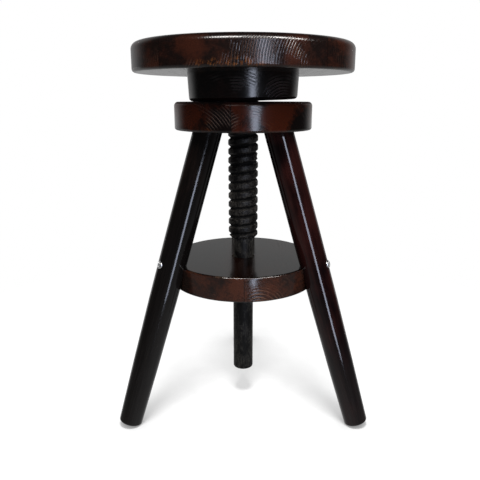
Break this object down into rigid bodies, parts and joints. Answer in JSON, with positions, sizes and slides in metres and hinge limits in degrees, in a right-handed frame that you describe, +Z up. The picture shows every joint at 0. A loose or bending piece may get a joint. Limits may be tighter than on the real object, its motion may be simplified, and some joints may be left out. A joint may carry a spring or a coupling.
{
  "type": "adjustable stool",
  "caption": "Three-legged wooden stool with a round seat on a turned wooden screw, a threaded hub and a round lower shelf that guides the screw.",
  "frame": {"origin": "middle of the whole stool's footprint box, on the floor; the screw's axis stands 27.31 mm in front of it, at x = 0", "axes": "+Z up along the screw, +X to the right seen from the front, -Y to the front; one leg points to +Y"},
  "size_m": [0.3764, 0.3746, 0.557],
  "materials": {
    "stained_pine": "dark stain under gloss lacquer",
    "stained_pine_red": "red-brown stain under gloss lacquer",
    "stained_beech": "dark stain, matt",
    "plain_beech": "bare",
    "screw_steel": "bright"
  },
  "bodies": {
    "stand": {"hub": "stained_pine", "leg_rear": "stained_pine", "leg_front_left": "stained_pine", "leg_front_right": "stained_pine_red", "shelf_board_1": "stained_pine", "shelf_board_2": "stained_pine", "shelf_board_3": "stained_pine", "shelf_screws": "screw_steel"},
    "riser": {"spindle_shank": "stained_beech"},
    "seat": {"seat_board_1": "stained_pine", "seat_board_2": "stained_pine", "seat_board_3": "stained_pine", "seat_board_4": "stained_pine_red", "seat_boss": "stained_pine", "boss_screws": "screw_steel", "screw_spindle": "stained_beech", "spindle_wedge": "plain_beech"}
  },
  "joints": [
    {"name": "seat_lift", "type": "slide", "parent": "stand", "child": "riser", "axis": [0, 0, 1], "range_m": [-0.00028, 0.1486]},
    {"name": "seat_turn", "type": "hinge", "parent": "riser", "child": "seat", "pos_m": [0, -0.02731, 0.457], "axis": [0, 0, 1], "range_deg": [-5, 3960]}
  ],
  "couplings": [
    {"joint": "seat_lift", "follows": "seat_turn", "m_per_rad": 0.0021486}
  ]
}
